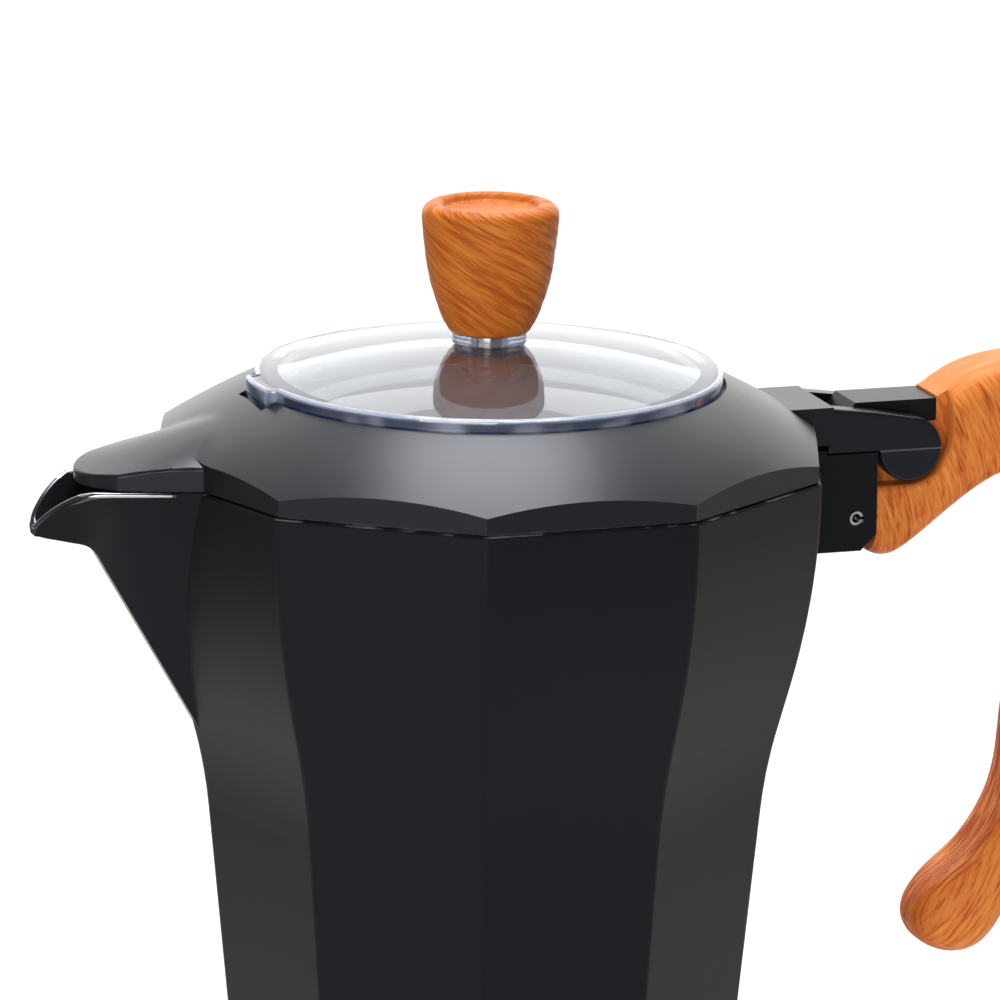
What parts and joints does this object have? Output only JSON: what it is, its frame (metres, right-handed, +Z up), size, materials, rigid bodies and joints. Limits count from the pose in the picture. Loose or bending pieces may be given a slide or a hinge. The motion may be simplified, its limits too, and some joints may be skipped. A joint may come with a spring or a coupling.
{
  "type": "moka pot",
  "caption": "Stove-top moka pot with a ten-sided black body, hinged lid with a clear window, turned knob, beaked spout and a curved wood-look handle.",
  "frame": {"origin": "on the pot's upright axis, at the flat base that stands on the stove", "axes": "+Z up, +X towards the handle, -X towards the spout, the safety valve on the -Y side"},
  "size_m": [0.1851, 0.1052, 0.2151],
  "materials": {
    "black_coating": "satin black heat-proof coating on cast aluminium",
    "bare_aluminium": "spun and pierced, satin",
    "wood_look": "wood-look moulding, satin",
    "clear_window": "clear, glossy",
    "rubber": "matt",
    "brass": "turned",
    "steel": "drawn, bright"
  },
  "bodies": {
    "boiler": {"boiler": "black_coating", "valve_washer": "rubber", "valve_body": "brass", "valve_cap": "brass", "valve_spring": "steel"},
    "plunger": {"valve_plunger": "brass"},
    "funnel": {"funnel_cup": "bare_aluminium", "funnel_strainer": "bare_aluminium", "funnel_stem": "bare_aluminium"},
    "seal": {"gasket": "rubber", "filter_plate": "bare_aluminium"},
    "collector": {"collector": "black_coating", "coffee_column": "bare_aluminium", "handle": "wood_look", "handle_pin": "steel", "hinge_pin": "steel"},
    "lid": {"lid_ring": "black_coating", "lid_window": "clear_window", "knob": "wood_look", "knob_insert": "brass", "knob_washer": "steel", "knob_screw": "steel"}
  },
  "joints": [
    {"name": "valve_plunge", "type": "slide", "parent": "boiler", "child": "plunger", "axis": [0, -1, 0], "range_m": [0, 0.0015], "stiffness_N_per_m": 2000, "springref_m": -0.0025, "deforming": ["valve_spring"]},
    {"name": "collector_lift", "type": "slide", "parent": "boiler", "child": "seal", "axis": [0, 0, 1], "range_m": [0, 0.165]},
    {"name": "collector_turn", "type": "hinge", "parent": "seal", "child": "collector", "pos_m": [0, 0, 0.0735], "axis": [0, 0, 1], "range_deg": [0, 450]},
    {"name": "lid_hinge", "type": "hinge", "parent": "collector", "child": "lid", "pos_m": [0.06849, 0, 0.17285], "axis": [0, 1, 0], "range_deg": [0, 90]},
    {"name": "funnel_lift", "type": "slide", "parent": "boiler", "child": "funnel", "axis": [0, 0, 1], "range_m": [0, 0.0825]}
  ],
  "couplings": [
    {"joint": "funnel_lift", "follows": "collector_lift", "ratio": 0.5}
  ]
}
